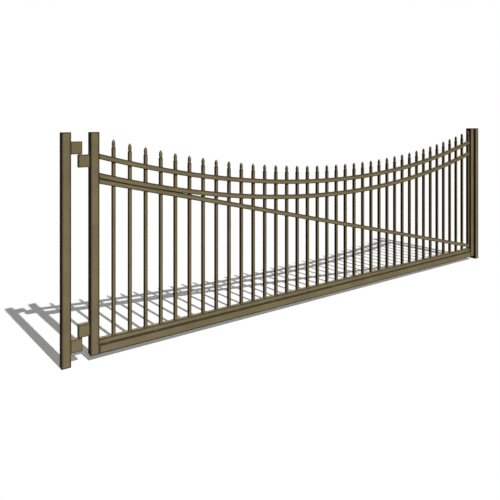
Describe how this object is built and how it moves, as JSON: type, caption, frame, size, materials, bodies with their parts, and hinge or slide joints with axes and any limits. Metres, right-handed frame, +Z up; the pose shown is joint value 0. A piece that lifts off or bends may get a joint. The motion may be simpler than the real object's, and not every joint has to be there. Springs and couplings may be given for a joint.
{
  "type": "single-leaf swing driveway gate",
  "caption": "Wide swing driveway gate: square pickets with pointed finials, dipped curved rails and a diagonal brace, hung from a hinge post on pivot blocks, with a separate latch post.",
  "frame": {"origin": "middle of the hinge post's foot, at ground level", "axes": "+X along the closed leaf from the hinge post to the latch post, +Y to the back, +Z up"},
  "size_m": [4.9449, 0.0636, 1.62],
  "materials": {
    "bronze_paint": "satin khaki-bronze powder coat on steel",
    "pin_steel": "turned bright steel, greased",
    "washer_brass": "machined brass, dulled"
  },
  "bodies": {
    "posts": {"hinge_post": "bronze_paint", "hinge_post_cap": "bronze_paint", "hinge_post_foot_cap": "bronze_paint", "latch_post": "bronze_paint", "latch_post_cap": "bronze_paint", "latch_post_foot_cap": "bronze_paint", "lower_post_hinge_block": "bronze_paint", "upper_post_hinge_block": "bronze_paint", "lower_hinge_pin": "pin_steel", "upper_hinge_pin": "pin_steel", "thrust_washer": "washer_brass"},
    "leaf": {"hinge_stile": "bronze_paint", "hinge_stile_cap": "bronze_paint", "hinge_stile_foot_cap": "bronze_paint", "latch_stile": "bronze_paint", "latch_stile_cap": "bronze_paint", "latch_stile_foot_cap": "bronze_paint", "bottom_rail": "bronze_paint", "bottom_channel": "bronze_paint", "top_rail": "bronze_paint", "middle_rail": "bronze_paint", "brace": "bronze_paint", "lower_gate_hinge_block": "bronze_paint", "upper_gate_hinge_block": "bronze_paint", "pickets_group_1": "bronze_paint", "finials_group_1": "bronze_paint", "pickets_group_2": "bronze_paint", "finials_group_2": "bronze_paint", "pickets_group_3": "bronze_paint", "finials_group_3": "bronze_paint", "pickets_group_4": "bronze_paint", "finials_group_4": "bronze_paint", "pickets_group_5": "bronze_paint", "finials_group_5": "bronze_paint", "pickets_group_6": "bronze_paint", "finials_group_6": "bronze_paint"}
  },
  "joints": [
    {"name": "leaf_swing", "type": "hinge", "parent": "posts", "child": "leaf", "pos_m": [0.09675, 0, 0.181], "axis": [0, 0, 1], "range_deg": [-90, 90]}
  ]
}
